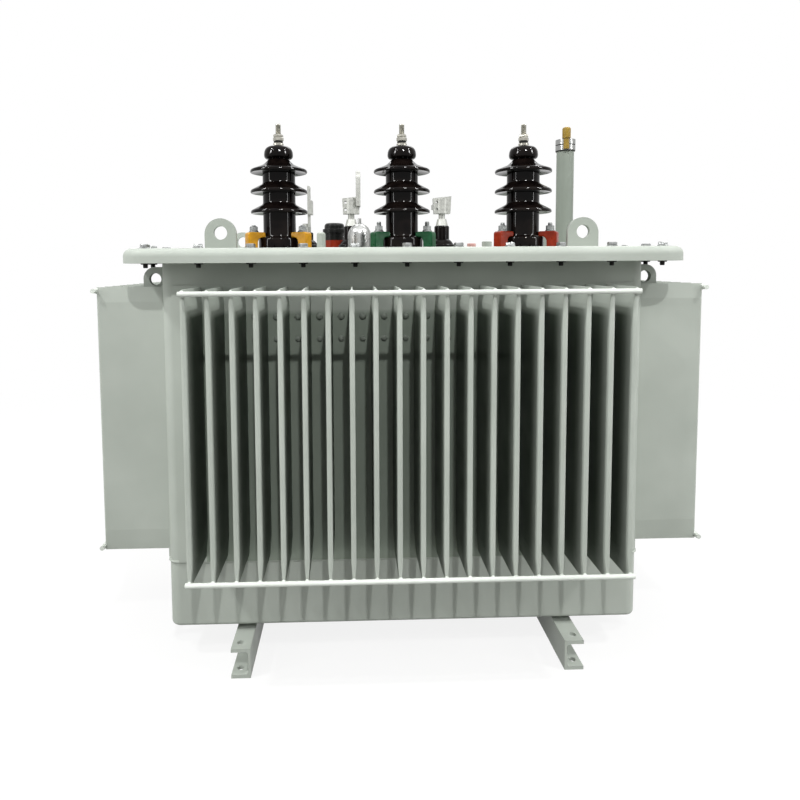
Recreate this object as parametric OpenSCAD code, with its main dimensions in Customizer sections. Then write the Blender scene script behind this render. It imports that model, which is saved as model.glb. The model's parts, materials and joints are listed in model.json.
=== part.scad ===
// Oil-immersed distribution transformer with a corrugated tank.
// Units are millimetres, +Z is up, the high-voltage side faces -Y.
// The underside of the skid channels lies at Z = 0 and the tank is centred on X and Y.

/* [Skid channels] */
// height of the channel section
channel_h = 63; // [50:1:80]
// width of the channel flanges
channel_b = 40; // [36:1:60]
// thickness of the channel web
channel_web = 5; // [4:0.5:8]
// thickness of the channel flanges
channel_flange = 7.5; // [5:0.5:10]
// length of each channel along Y
channel_len = 706; // [700:2:760]
// distance of the foot holes from the tank ends along X
foot_in = 159; // [140:1:170]
// spacing of the foot holes along Y
foot_y = 660; // [620:2:670]
// distance of the foot holes from the back of the channel
foot_edge = 24; // [18:0.5:28]
// radius of the fillets inside the channel
channel_fillet = 6; // [3:0.5:8]
// diameter of the foot holes
foot_hole_d = 14; // [10:0.5:18]

/* [Tank] */
// length of the tank along X
tank_l = 1020; // [1000:2:1060]
// depth of the tank along Y
tank_w = 568; // [556:2:580]
// distance of the floor plate from the sides of the tank
floor_in = 60; // [40:1:80]
// thickness of the plate between the channels and the tank floor
floor_t = 10; // [6:1:14]
// height of the underside of the corrugated panels above the tank floor
panel_low = 145; // [120:1:170]
// height of the corrugated panels
panel_h = 590; // [560:2:610]
// height of the plain band above the panels
band_h = 54.5; // [50:0.5:64]
// radius of the upright tank corners
tank_corner_r = 24; // [16:1:26]
// radius of the bend along the tank floor
tank_floor_r = 8; // [6:1:15]

/* [Corrugated panels] */
// distance of the last fins on the long sides from the tank ends
fin_edge_long = 82.5; // [50:0.5:100]
// distance of the last fins on the short sides from the tank sides
fin_edge_short = 36.5; // [34:0.5:60]
// number of fins on each long side
fins_long = 20; // [12:1:20]
// number of fins on each short side
fins_short = 12; // [5:1:12]
// thickness of a fin
fin_t = 10; // [8:0.5:14]
// depth of a fin from the panel sheet
fin_depth = 140; // [100:1:160]
// thickness of the pinched and welded fin ends
fin_end_t = 3; // [2:0.5:6]
// height of the pinched zone at the top fin ends
fin_pinch_top = 32; // [20:1:60]
// height of the pinched zone at the low fin ends
fin_pinch_low = 45; // [20:1:60]
// distance from the top fin ends to the panel edge
fin_inset_top = 3; // [2:0.5:10]
// distance from the low fin ends to the panel edge
fin_inset_low = 14; // [4:0.5:20]
// thickness of the panel sheet
sheet_t = 4; // [3:0.5:6]
// diameter of the stay rods across the fin fronts
rod_d = 10; // [8:0.5:14]
// how deep the stay rods sit in the fin fronts
rod_seat = 2; // [1:0.5:3]
// distance from the fin ends to the stay rods
rod_inset = 8; // [7:0.5:14]
// how far the rods on the long sides pass the last fin
rod_over_long = 2; // [1:1:24]
// how far the rods on the short sides pass the last fin
rod_over_short = 10; // [1:1:24]

/* [Cover] */
// length of the cover along X
cover_l = 1144; // [1130:2:1200]
// depth of the cover along Y
cover_w = 714; // [706:2:740]
// height of the cover with its folded edge
cover_h = 30; // [28:1:40]
// thickness of the cover sheet
cover_t = 8; // [6:0.5:10]
// radius of the upright cover corners
cover_corner_r = 48; // [30:1:60]
// radius of the bend along the cover edge
cover_edge_r = 16; // [8:1:17]
// thickness of the tank rim flange
rim_t = 10; // [8:0.5:12]
// thickness of the cover gasket
gasket_t = 4; // [3:0.5:6]
// clearance between the rim flange and the folded cover edge
rim_gap = 3; // [2:0.5:6]

/* [High-voltage bushings] */
// spacing of the three bushings
hv_pitch = 270; // [250:1:290]
// distance of the bushing row from the tank centre
hv_y = 200; // [180:1:215]
// diameter of the porcelain foot flange
hv_foot_d = 92; // [86:1:100]
// height of the porcelain foot flange
hv_foot_h = 25; // [20:1:28]
// diameter of the porcelain body
hv_body_d = 71; // [64:1:76]
// diameter of the sheds
hv_shed_d = 124; // [110:1:130]
// spacing of the sheds
hv_shed_pitch = 44; // [42:0.5:48]
// height of the lowest shed rim above the cover
hv_shed_low = 80.5; // [72:0.5:86]
// rise of a shed from its rim to the body
hv_shed_rise = 15; // [9:0.5:17]
// share of the rise that hollows the underside of a shed
shed_hollow = 0.45; // [0.3:0.05:0.6]
// thickness of the shed rims
hv_rim_t = 7; // [5:0.5:9]
// radius of the rounded porcelain edges
hv_round = 5; // [3:0.5:7]
// radius of the crown of the porcelain head
hv_crown_r = 18; // [12:0.5:18.5]
// height of the flare from the top shed to the neck
hv_flare_h = 6; // [4:0.5:10]
// height of the neck below the head
hv_neck_h = 7.5; // [6:0.5:10]
// diameter of the porcelain head
hv_head_d = 63; // [54:1:66]
// height of the porcelain head
hv_head_h = 23.5; // [19:0.5:26]
// diameter of the neck below the head
hv_neck_d = 43; // [38:1:48]
// diameter of the terminal stud
hv_stud_d = 12; // [10:1:14]
// height of the bare stud above its nuts
hv_stud_h = 22.5; // [14:0.5:30]
// width across flats of the terminal nuts
hv_nut_af = 20; // [17:1:24]
// height of the pair of terminal nuts
hv_nut_h = 14.5; // [14:0.5:24]
// diameter of the terminal collar
hv_collar_d = 24; // [22:1:30]
// height of the terminal collar
hv_collar_h = 10.5; // [8:0.5:14]

/* [Bushing claws] */
// clearance between the claw legs and the porcelain foot
claw_space = 6; // [2:0.5:12]
// clearance between the claw tips and the porcelain body
claw_gap = 1.5; // [1:0.5:4]
// width of a claw
claw_w = 22; // [18:1:26]
// thickness of the claw arm
claw_arm = 11; // [8:0.5:14]
// thickness of the claw leg
claw_leg = 18; // [16:0.5:20]
// radius of the rounded claw corners
claw_round = 5; // [3:0.5:6]
// distance of the claw bolts from the outer ends of the claws
claw_bolt_in = 9.5; // [8.5:0.5:10.5]
// diameter of the claw bolt holes
claw_hole_d = 11; // [9:0.5:12]

/* [Low-voltage bushings] */
// spacing of the four bushings
lv_pitch = 122; // [110:1:130]
// distance of the bushing row from the tank centre
lv_y = 100; // [90:1:120]
// distance of the row centre from the tank centre along X
lv_shift = 51; // [40:1:60]
// diameter of the porcelain foot
lv_foot_d = 48; // [44:1:54]
// height of the skirt rim above the cover
lv_skirt_z = 15; // [13:0.5:20]
// rise of the skirt from its rim to the head
lv_skirt_rise = 13; // [10:0.5:16]
// thickness of the skirt rim
lv_rim_t = 7; // [5:0.5:9]
// radius of the rounded porcelain edges
lv_round = 4; // [2:0.5:6]
// diameter of the porcelain skirt
lv_skirt_d = 70; // [60:1:76]
// diameter of the porcelain head
lv_head_d = 40; // [36:1:44]
// height of the phase porcelain
lv_body_h = 68; // [60:1:74]
// height of the neutral porcelain
neutral_h = 52; // [46:1:58]
// diameter of the terminal stud
lv_stud_d = 17; // [14:1:20]
// diameter of the cone nut at its foot
lv_cone_d = 33; // [30:1:36]
// diameter of the cone nut at its top
lv_nut_d = 24; // [20:1:28]
// height of the stud nut
lv_nut_h = 18; // [14:1:22]
// height of the bare stud between nut and clamp
lv_neck_h = 14; // [10:1:20]
// width of the terminal clamp
lv_clamp_w = 48; // [44:1:52]
// diameter of the clamp barrel
lv_clamp_d = 34; // [30:1:38]
// thickness of the clamp ears
lv_ear_t = 24; // [20:1:28]
// distance of the ear holes from the edge of the ear
lv_ear_edge = 9; // [8:0.5:10]
// spacing of the two ear holes
lv_ear_pitch = 19; // [16:1:21]
// diameter of the ear holes
lv_ear_hole_d = 7; // [5:0.5:8]
// height of the middle of the two ear holes above the clamp foot
lv_ear_z = 21; // [19:0.5:23]
// fall of the clamp top from right to left
lv_clamp_slope = 5; // [4:0.5:8]
// height of the terminal clamp
lv_clamp_h = 46; // [42:1:50]
// distance of the upright palms from the stud axis
palm_x = 19; // [18:0.5:24]
// height of the root of an upright palm above the foot of its clamp
palm_low = 20; // [14:1:26]
// length of the palm that is turned back, from the stud axis
palm_back_l = 86; // [82:1:96]
// distance of the outer palm hole from the palm end
palm_hole_edge = 18; // [16:0.5:20]
// width across flats of the neutral nut
flag_nut_af = 24; // [22:1:28]
// height of the neutral nut
flag_nut_h = 14; // [10:1:18]
// height of the bare stud above the neutral nut
flag_neck_h = 9; // [6:1:14]
// distance of the neutral flag from the stud axis
flag_x = 9.5; // [5:0.5:10]
// thickness of the neutral flag
flag_t = 6.5; // [5:0.5:8]
// height of the root of the neutral flag
flag_root_h = 24; // [18:1:30]
// width of the root of the neutral flag
flag_root_w = 21; // [18:1:23]
// height of the neutral flag
flag_h = 74; // [66:1:80]
// height of the doubled part of the neutral flag
flag_double_h = 36; // [30:1:38]
// distance of the upper flag hole from the flag end
flag_hole_edge = 11; // [9:0.5:12]
// spacing of the two flag holes
flag_hole_pitch = 18; // [16:0.5:18]
// thickness of the terminal palm
palm_t = 12; // [8:0.5:13]
// width of the terminal palm
palm_w = 40; // [36:1:44]
// length of the terminal palm beyond the clamp
palm_l = 68; // [60:1:74]
// spacing of the two palm holes
palm_hole_pitch = 30; // [26:1:32]
// diameter of the palm holes
palm_hole_d = 11; // [9:0.5:13]

/* [Lifting lugs] */
// distance of the front cover lugs from the outer bushings along X
lug_beside = 122; // [110:1:140]
// distance of the cover lugs from the tank centre along Y
lug_y = 235; // [220:1:250]
// distance of the rear cover lugs from the tank centre along X
rear_lug_x = 425; // [400:1:430]
// width of a cover lug
lug_w = 67; // [60:1:72]
// height of a front cover lug
lug_h = 65.5; // [60:0.5:70]
// height of a rear cover lug
rear_lug_h = 59.5; // [56:0.5:70]
// thickness of a cover lug
lug_t = 12; // [8:1:16]
// hole diameter of a front cover lug
lug_hole_d = 29; // [22:1:30]
// hole diameter of a rear cover lug
rear_lug_hole_d = 29; // [22:1:30]
// height of the front lug holes above the cover
lug_hole_z = 34.5; // [30:0.5:36]
// height of the rear lug holes above the cover
rear_lug_hole_z = 31.5; // [29:0.5:34]
// reach of a tank lug from the end wall
tank_lug_w = 50; // [48:1:60]
// how far a tank lug hangs below the top edge of the panel
tank_lug_drop = 8; // [4:0.5:12]
// clearance between a tank lug and the panel
tank_lug_gap = 2; // [1:0.5:4]
// height of the tank lug holes above the foot of the lug
tank_lug_hole_z = 21; // [19:0.5:23]
// height of a tank lug
tank_lug_h = 47; // [44:0.5:50]
// thickness of a tank lug
tank_lug_t = 14; // [10:1:18]
// hole diameter of a tank lug
tank_lug_hole_d = 26; // [20:1:28]

/* [Oil filler] */
// distance of the filler from the right end of the cover
filler_in = 72; // [67:1:82]
// filler position along Y
filler_y = 200; // [190:1:215]
// diameter of the filler tube
filler_d = 48; // [42:1:52]
// height of the filler tube
filler_h = 282; // [250:1:300]
// diameter of the weld foot of the filler tube
filler_foot_d = 64; // [58:1:70]
// height of the weld foot of the filler tube
filler_foot_h = 6; // [4:0.5:8]
// diameter of the filler collar rings
filler_ring_d = 55; // [54:1:60]
// height of the filler collar
filler_ring_h = 33; // [31:1:38]
// width of the grooves in the filler collar
filler_groove = 2.5; // [2:0.5:4]
// depth of the grooves in the filler collar
filler_groove_t = 2.5; // [1.5:0.5:3]
// diameter of the level knob
knob_d = 23; // [20:1:26]
// diameter of the knob stem
knob_stem_d = 16; // [14:0.5:18]
// length of the knob stem beside the collar
knob_stem_h = 29; // [24:1:30]
// how far the knob stem is hollowed to saddle the collar
knob_saddle = 5; // [4:0.5:6]
// turn of the knob from the front of the collar
knob_turn = -14; // [-30:1:30]
// radius of the round knob edges
knob_round = 6; // [4:0.5:8]
// height of the level knob above its stem
knob_h = 30; // [26:1:34]

/* [Cover fittings] */
// relief valve position along X
relief_x = -92; // [-100:1:-80]
// relief valve position along Y
relief_y = -50; // [-60:1:-40]
// diameter of the relief valve dome
relief_d = 57; // [52:1:64]
// height of the relief valve dome
relief_h = 64.5; // [58:0.5:70]
// height of the seam round the relief valve
relief_seam_z = 26; // [22:0.5:30]
// width and depth of the seam round the relief valve
relief_seam = 1.5; // [1:0.5:2]
// number of straps across the relief valve dome
relief_straps = 3; // [2:1:4]
// width of a strap
relief_strap_w = 4; // [3:0.5:6]
// thickness of a strap
relief_strap_t = 1.2; // [0.8:0.2:2]
// diameter of the pull pin on the relief valve
relief_pin_d = 9; // [7:1:12]
// height of the pull pin above the dome
relief_pin_h = 13; // [8:1:16]
// tap changer position along X
tap_x = -160; // [-170:1:-150]
// tap changer position along Y
tap_y = 200; // [195:1:210]
// diameter of the tap changer cap brim
tap_d = 66; // [60:1:70]
// height of the tap changer cap
tap_h = 48.5; // [46:0.5:56]
// diameter of the tap changer cap below its brim
tap_body_d = 56; // [50:1:60]
// height of the brim above the tap changer base
tap_brim_z = 21; // [18:1:24]
// height of the brim of the tap changer cap
tap_brim_h = 11; // [8:0.5:13]
// height of the groove above the tap changer base
tap_groove_z = 10; // [6:1:14]
// width and depth of the groove round the tap changer cap
tap_groove = 2; // [1:0.5:3]
// radius of the crown of the tap changer cap
tap_crown_r = 9; // [6:0.5:14]
// radius of the rounded edges of the small fittings
fitting_round = 2; // [1:0.5:2.5]
// diameter of the tap changer base
tap_base_d = 56; // [50:1:60]
// height of the tap changer base
tap_base_h = 34; // [28:1:38]
// thermometer pocket position along X
pocket_x = -188; // [-200:1:-180]
// thermometer pocket position along Y
pocket_y = -10; // [-20:1:0]
// diameter of the thermometer pocket
pocket_d = 22; // [20:1:26]
// height of the thermometer pocket
pocket_h = 47; // [40:1:50]
// radius of the crown of the thermometer pocket
pocket_crown_r = 7; // [4:0.5:9]
// vent cap position along X
vent_x = 231; // [220:1:240]
// vent cap position along Y
vent_y = -10; // [-20:1:0]
// diameter of the vent cap
vent_d = 25; // [22:1:28]
// height of the vent cap
vent_h = 22; // [18:1:26]
// drain plug position along X
plug_x = 192; // [185:1:198]
// drain plug position along Y
plug_y = -10; // [-20:1:0]
// diameter of the drain plug
plug_d = 22; // [18:1:24]
// height of the drain plug
plug_h = 17; // [14:1:20]

/* [Hidden] */
$fn = 64;
e = 1;
tank_z = channel_h + floor_t;
panel_z = tank_z + panel_low;
panel_top = panel_z + panel_h;
tank_top = panel_top + band_h;
rim_top = tank_top + rim_t;
seat_z = rim_top + gasket_t;
cover_top = seat_z + cover_t;
cover_low = cover_top - cover_h;
rim_l = cover_l - 2 * (cover_t + rim_gap);
rim_w = cover_w - 2 * (cover_t + rim_gap);
rim_corner_r = cover_corner_r - cover_t - rim_gap;
fin_low = panel_z + fin_inset_low;
fin_high = panel_top - fin_inset_top;
fin_len = fin_high - fin_low;
rod_low = fin_low + rod_inset;
rod_high = fin_high - rod_inset;
rod_off = sheet_t + fin_depth - rod_seat + rod_d / 2;
row_long = tank_l - 2 * fin_edge_long;
row_short = tank_w - 2 * fin_edge_short;
rod_len_long = row_long + fin_t + 2 * rod_over_long;
rod_len_short = row_short + fin_t + 2 * rod_over_short;
tank_lug_y = row_short / 2 - row_short / (fins_short - 1) / 2;
sheet_long = tank_l - 2 * tank_corner_r;
sheet_short = tank_w - 2 * tank_corner_r;
back_x = tank_l / 2 - foot_in - foot_edge;
hv_body_top = hv_shed_low + 2 * hv_shed_pitch + hv_rim_t / 2 + hv_shed_rise;
hv_neck_z = hv_body_top + hv_flare_h;
hv_head_z = hv_neck_z + hv_neck_h;
hv_top = hv_head_z + hv_head_h;
claw_out = hv_foot_d / 2 + claw_space + claw_leg;
claw_in = hv_body_d / 2 + claw_gap;
claw_bolt_r = claw_out - claw_bolt_in;
lug_x = hv_pitch + lug_beside;
filler_x = cover_l / 2 - filler_in;
filler_top = cover_top + filler_h;

paint = [0.78, 0.80, 0.77];
glaze = [0.10, 0.07, 0.06];
metal = [0.75, 0.75, 0.76];

// flat rectangle with round corners
module round_rect(l, w, r) {
    union() {
        square([l - 2 * r, w], center = true);
        square([l, w - 2 * r], center = true);
        for (sx = [-1, 1])
            for (sy = [-1, 1])
                translate([sx * (l / 2 - r), sy * (w / 2 - r)])
                    circle(r = r);
    }
}

// upright profile with its two low corners round
module floor_profile(l, h, r) {
    union() {
        translate([-l / 2, r])
            square([l, h - r]);
        translate([-l / 2 + r, 0])
            square([l - 2 * r, h]);
        for (s = [-1, 1])
            translate([s * (l / 2 - r), r])
                intersection() {
                    circle(r = r);
                    translate([-r, -r])
                        square([2 * r, r]);
                }
    }
}

// half outline of a turned disc with its top edge round
module disc_outline(d, h, r) {
    union() {
        square([d / 2 - r, h]);
        square([d / 2, h - r]);
        translate([d / 2 - r, h - r])
            intersection() {
                circle(r = r);
                square(r);
            }
    }
}

// box with round upright corners and its low edges rolled round, also about the corners
module rolled_box(l, w, h, r_plan, r_low) {
    union() {
        translate([0, w / 2 - r_plan, 0])
            rotate([90, 0, 0])
                linear_extrude(height = w - 2 * r_plan)
                    floor_profile(l, h, r_low);
        translate([-l / 2 + r_plan, 0, 0])
            rotate([90, 0, 90])
                linear_extrude(height = l - 2 * r_plan)
                    floor_profile(w, h, r_low);
        for (sx = [-1, 1])
            for (sy = [-1, 1])
                translate([sx * (l / 2 - r_plan), sy * (w / 2 - r_plan), h])
                    mirror([0, 0, 1])
                        rotate_extrude()
                            disc_outline(2 * r_plan, h, r_low);
    }
}

// section of the skid channel, its back on the left
module channel_section() {
    inner_h = channel_h - 2 * channel_flange;
    difference() {
        square([channel_b, channel_h]);
        translate([channel_web + channel_fillet, channel_flange])
            square([channel_b, inner_h]);
        translate([channel_web, channel_flange + channel_fillet])
            square([channel_b, inner_h - 2 * channel_fillet]);
        for (z = [channel_flange + channel_fillet, channel_h - channel_flange - channel_fillet])
            translate([channel_web + channel_fillet, z])
                circle(r = channel_fillet);
    }
}

// skid channel along Y, its back at X = 0 and its open side towards +X
module channel() {
    difference() {
        translate([0, channel_len / 2, 0])
            rotate([90, 0, 0])
                linear_extrude(height = channel_len)
                    channel_section();
        for (s = [-1, 1])
            translate([foot_edge, s * foot_y / 2, -e])
                cylinder(d = foot_hole_d, h = channel_h + 2 * e);
    }
}

module left_channel() {
    color(paint)
        mirror([1, 0, 0])
            translate([back_x, 0, 0])
                channel();
}

module right_channel() {
    color(paint)
        translate([back_x, 0, 0])
            channel();
}

module floor_plate() {
    color(paint)
        translate([0, 0, channel_h + floor_t / 2])
            cube([tank_l - 2 * floor_in, tank_w - 2 * floor_in, floor_t], center = true);
}

module tank_body() {
    color(paint)
        translate([0, 0, tank_z])
            rolled_box(tank_l, tank_w, tank_top - tank_z, tank_corner_r, tank_floor_r);
}

// one cooling fin with a round front and pinched ends, front towards -Y
module fin() {
    reach = sheet_t + fin_depth;
    intersection() {
        translate([0, 0, fin_low])
            rotate([90, 0, 0])
                linear_extrude(height = reach)
                    polygon([[-fin_end_t / 2, 0], [fin_end_t / 2, 0],
                        [fin_t / 2, fin_pinch_low], [fin_t / 2, fin_len - fin_pinch_top],
                        [fin_end_t / 2, fin_len], [-fin_end_t / 2, fin_len],
                        [-fin_t / 2, fin_len - fin_pinch_top], [-fin_t / 2, fin_pinch_low]]);
        translate([0, 0, fin_low])
            linear_extrude(height = fin_len)
                union() {
                    translate([-fin_t / 2, -reach + fin_t / 2])
                        square([fin_t, reach - fin_t / 2]);
                    translate([0, -reach + fin_t / 2])
                        circle(d = fin_t);
                }
    }
}

// corrugated panel with its outside towards -Y and its inner face at Y = 0
module fin_wall(count, row, width, rod_len) {
    difference() {
        union() {
            translate([-width / 2, -sheet_t, panel_z])
                cube([width, sheet_t, panel_h]);
            for (i = [0 : count - 1])
                translate([(i / (count - 1) - 0.5) * row, 0, 0])
                    fin();
        }
        rods(rod_len + 2 * e);
    }
}

// pair of stay rods in front of a corrugated panel
module rods(len) {
    for (z = [rod_low, rod_high])
        translate([-len / 2, -rod_off, z])
            rotate([0, 90, 0])
                cylinder(d = rod_d, h = len);
}

module front_fin_wall() {
    color(paint)
        translate([0, -tank_w / 2, 0])
            fin_wall(fins_long, row_long, sheet_long, rod_len_long);
}

module rear_fin_wall() {
    color(paint)
        rotate([0, 0, 180])
            translate([0, -tank_w / 2, 0])
                fin_wall(fins_long, row_long, sheet_long, rod_len_long);
}

module left_fin_wall() {
    color(paint)
        rotate([0, 0, -90])
            translate([0, -tank_l / 2, 0])
                fin_wall(fins_short, row_short, sheet_short, rod_len_short);
}

module right_fin_wall() {
    color(paint)
        rotate([0, 0, 90])
            translate([0, -tank_l / 2, 0])
                fin_wall(fins_short, row_short, sheet_short, rod_len_short);
}

module front_rods() {
    color(paint)
        translate([0, -tank_w / 2, 0])
            rods(rod_len_long);
}

module rear_rods() {
    color(paint)
        rotate([0, 0, 180])
            translate([0, -tank_w / 2, 0])
                rods(rod_len_long);
}

module left_rods() {
    color(paint)
        rotate([0, 0, -90])
            translate([0, -tank_l / 2, 0])
                rods(rod_len_short);
}

module right_rods() {
    color(paint)
        rotate([0, 0, 90])
            translate([0, -tank_l / 2, 0])
                rods(rod_len_short);
}

module tank_rim() {
    color(paint)
        translate([0, 0, tank_top])
            linear_extrude(height = rim_t)
                round_rect(rim_l, rim_w, rim_corner_r);
}

module cover_gasket() {
    color([0.12, 0.12, 0.12])
        translate([0, 0, rim_top])
            linear_extrude(height = gasket_t)
                round_rect(rim_l, rim_w, rim_corner_r);
}

module cover() {
    color(paint)
        difference() {
            translate([0, 0, cover_top])
                mirror([0, 0, 1])
                    rolled_box(cover_l, cover_w, cover_h, cover_corner_r, cover_edge_r);
            translate([0, 0, cover_low - e])
                linear_extrude(height = cover_h - cover_t + e)
                    round_rect(cover_l - 2 * cover_t, cover_w - 2 * cover_t, cover_corner_r - cover_t);
        }
}

// upright lug plate with a round top, its foot at Z = 0
module lug(w, h, t, hole_d, hole_z) {
    translate([0, t / 2, 0])
        rotate([90, 0, 0])
            linear_extrude(height = t)
                difference() {
                    union() {
                        translate([-w / 2, 0])
                            square([w, h - w / 2]);
                        intersection() {
                            translate([0, h - w / 2])
                                circle(d = w);
                            translate([-w / 2, 0])
                                square([w, h]);
                        }
                    }
                    translate([0, hole_z])
                        circle(d = hole_d);
                }
}

module front_cover_lugs() {
    color(paint)
        for (s = [-1, 1])
            translate([s * lug_x, -lug_y, cover_top])
                lug(lug_w, lug_h, lug_t, lug_hole_d, lug_hole_z);
}

module rear_cover_lugs() {
    color(paint)
        for (s = [-1, 1])
            translate([s * rear_lug_x, lug_y, cover_top])
                lug(lug_w, rear_lug_h, lug_t, rear_lug_hole_d, rear_lug_hole_z);
}

// outline of a tank lug: round above on its outside, along the tank wall at X = 0, clear of the panel
module tank_lug_outline() {
    r = tank_lug_w / 2;
    difference() {
        union() {
            square([r, tank_lug_h]);
            square([tank_lug_w, tank_lug_h - r]);
            translate([r, tank_lug_h - r])
                intersection() {
                    circle(r = r);
                    square(r);
                }
        }
        translate([r, tank_lug_hole_z])
            circle(d = tank_lug_hole_d);
        translate([-e, -e])
            square([sheet_t + tank_lug_gap + e, tank_lug_drop + tank_lug_gap + e]);
    }
}

// pair of lug plates on the right end wall, each between two fins
module tank_lugs() {
    for (s = [-1, 1])
        translate([tank_l / 2, s * tank_lug_y + tank_lug_t / 2, panel_top - tank_lug_drop])
            rotate([90, 0, 0])
                linear_extrude(height = tank_lug_t)
                    tank_lug_outline();
}

module left_tank_lugs() {
    color(paint)
        mirror([1, 0, 0])
            tank_lugs();
}

module right_tank_lugs() {
    color(paint)
        tank_lugs();
}

// distance below a rim of the centre of the dome that rises by h from radius r1 to radius r0
function dome_drop(r1, r0, h) = (r1 * r1 - r0 * r0 - h * h) / (2 * h);

// half outline of a shed with a domed top, a hollow underside and a round rim at height 0
module shed_outline(d, body_d, rise, rim_t) {
    r1 = d / 2 - rim_t / 2;
    r0 = body_d / 2;
    low = rise * shed_hollow;
    top_drop = dome_drop(r1, r0, rise);
    low_drop = dome_drop(r1, r0, low);
    union() {
        intersection() {
            difference() {
                translate([0, rim_t / 2 - top_drop])
                    circle(r = norm([r1, top_drop]));
                translate([0, -rim_t / 2 - low_drop])
                    circle(r = norm([r1, low_drop]));
            }
            translate([r0 / 2, -rim_t])
                square([r1 - r0 / 2, rim_t + rim_t / 2 + rise]);
        }
        translate([r1, 0])
            circle(d = rim_t);
    }
}

// half outline of the high-voltage porcelain, foot at 0
module hv_outline() {
    union() {
        disc_outline(hv_foot_d, hv_foot_h, hv_round);
        square([hv_body_d / 2, hv_body_top]);
        square([hv_neck_d / 2, hv_top - hv_crown_r]);
        polygon([[0, hv_body_top], [hv_body_d / 2, hv_body_top],
            [hv_neck_d / 2, hv_neck_z], [0, hv_neck_z]]);
        for (i = [0 : 2])
            translate([0, hv_shed_low + i * hv_shed_pitch])
                shed_outline(hv_shed_d, hv_body_d, hv_shed_rise, hv_rim_t);
        translate([0, hv_head_z])
            disc_outline(hv_head_d, hv_head_h, hv_crown_r);
        translate([0, hv_head_z + hv_round])
            mirror([0, 1])
                disc_outline(hv_head_d, 2 * hv_round, hv_round);
    }
}

module hv_porcelain(k) {
    color(glaze)
        translate([k * hv_pitch, -hv_y, cover_top])
            rotate_extrude()
                hv_outline();
}

module hv_porcelain_a() {
    hv_porcelain(-1);
}

module hv_porcelain_b() {
    hv_porcelain(0);
}

module hv_porcelain_c() {
    hv_porcelain(1);
}

module hv_terminal(k) {
    color([0.72, 0.58, 0.30])
        translate([k * hv_pitch, -hv_y, cover_top + hv_top])
            union() {
                cylinder(d = hv_collar_d, h = hv_collar_h);
                translate([0, 0, hv_collar_h])
                    cylinder(d = hv_nut_af / cos(30), h = hv_nut_h, $fn = 6);
                cylinder(d = hv_stud_d, h = hv_collar_h + hv_nut_h + hv_stud_h);
            }
}

module hv_terminal_a() {
    hv_terminal(-1);
}

module hv_terminal_b() {
    hv_terminal(0);
}

module hv_terminal_c() {
    hv_terminal(1);
}

// side view of a claw: an arm with a round tip and a leg under its outer end
module claw_profile() {
    top = hv_foot_h + claw_arm;
    difference() {
        union() {
            translate([claw_in + claw_arm / 2, hv_foot_h])
                square([claw_out - claw_round - claw_in - claw_arm / 2, claw_arm]);
            translate([claw_in + claw_arm / 2, hv_foot_h + claw_arm / 2])
                circle(d = claw_arm);
            translate([claw_out - claw_leg - claw_round, 0])
                square([claw_leg, top]);
            translate([claw_out - claw_leg, 0])
                square([claw_leg, top - claw_round]);
            translate([claw_out - claw_round, top - claw_round])
                circle(r = claw_round);
        }
        translate([claw_out - claw_leg - claw_round - e, -e])
            square([claw_round + e, hv_foot_h - claw_round + e]);
        translate([claw_out - claw_leg - claw_round, hv_foot_h - claw_round])
            circle(r = claw_round);
    }
}

// claw that holds the porcelain foot down, reaching out along +X
module claw() {
    difference() {
        translate([0, claw_w / 2, 0])
            rotate([90, 0, 0])
                linear_extrude(height = claw_w)
                    claw_profile();
        translate([claw_bolt_r, 0, -e])
            cylinder(d = claw_hole_d, h = hv_foot_h + claw_arm + 2 * e);
    }
}

module hv_claws(k, tint) {
    color(tint)
        translate([k * hv_pitch, -hv_y, cover_top])
            for (a = [90 : 120 : 330])
                rotate([0, 0, a])
                    claw();
}

module hv_claws_a() {
    hv_claws(-1, [0.85, 0.65, 0.10]);
}

module hv_claws_b() {
    hv_claws(0, [0.10, 0.45, 0.20]);
}

module hv_claws_c() {
    hv_claws(1, [0.70, 0.10, 0.08]);
}

// half outline of a low-voltage porcelain of height h, foot at 0
module lv_outline(h) {
    union() {
        disc_outline(lv_foot_d, lv_skirt_z + lv_skirt_rise, lv_round);
        disc_outline(lv_head_d, h, lv_round);
        translate([0, lv_skirt_z])
            shed_outline(lv_skirt_d, lv_head_d, lv_skirt_rise, lv_rim_t);
    }
}

function lv_x(i) = -lv_shift + (i - 1.5) * lv_pitch;

module lv_porcelain(i, h) {
    color(glaze)
        translate([lv_x(i), lv_y, cover_top])
            rotate_extrude()
                lv_outline(h);
}

module lv_porcelain_n() {
    lv_porcelain(0, neutral_h);
}

module lv_porcelain_a() {
    lv_porcelain(1, lv_body_h);
}

module lv_porcelain_b() {
    lv_porcelain(2, lv_body_h);
}

module lv_porcelain_c() {
    lv_porcelain(3, lv_body_h);
}

// stud of a phase with its cone nut, standing on the porcelain
module lv_stud() {
    cylinder(d1 = lv_cone_d, d2 = lv_nut_d, h = lv_nut_h);
    cylinder(d = lv_stud_d, h = lv_nut_h + lv_neck_h + e);
}

// split clamp on the stud: barrel and block with a sloping top, bolt holes on its left
module lv_clamp() {
    half = lv_clamp_w / 2;
    difference() {
        union() {
            cylinder(d = lv_clamp_d, h = lv_clamp_h - lv_clamp_slope);
            translate([0, lv_ear_t / 2, 0])
                rotate([90, 0, 0])
                    linear_extrude(height = lv_ear_t)
                        polygon([[-half + lv_clamp_slope / 2, 0], [half - lv_clamp_slope / 2, 0],
                            [half, lv_clamp_h], [-half, lv_clamp_h - lv_clamp_slope]]);
        }
        for (k = [-0.5, 0.5])
            translate([lv_ear_edge - half, lv_ear_t / 2 + e, lv_ear_z + k * lv_ear_pitch])
                rotate([90, 0, 0])
                    cylinder(d = lv_ear_hole_d, h = lv_ear_t + 2 * e);
    }
}

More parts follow.
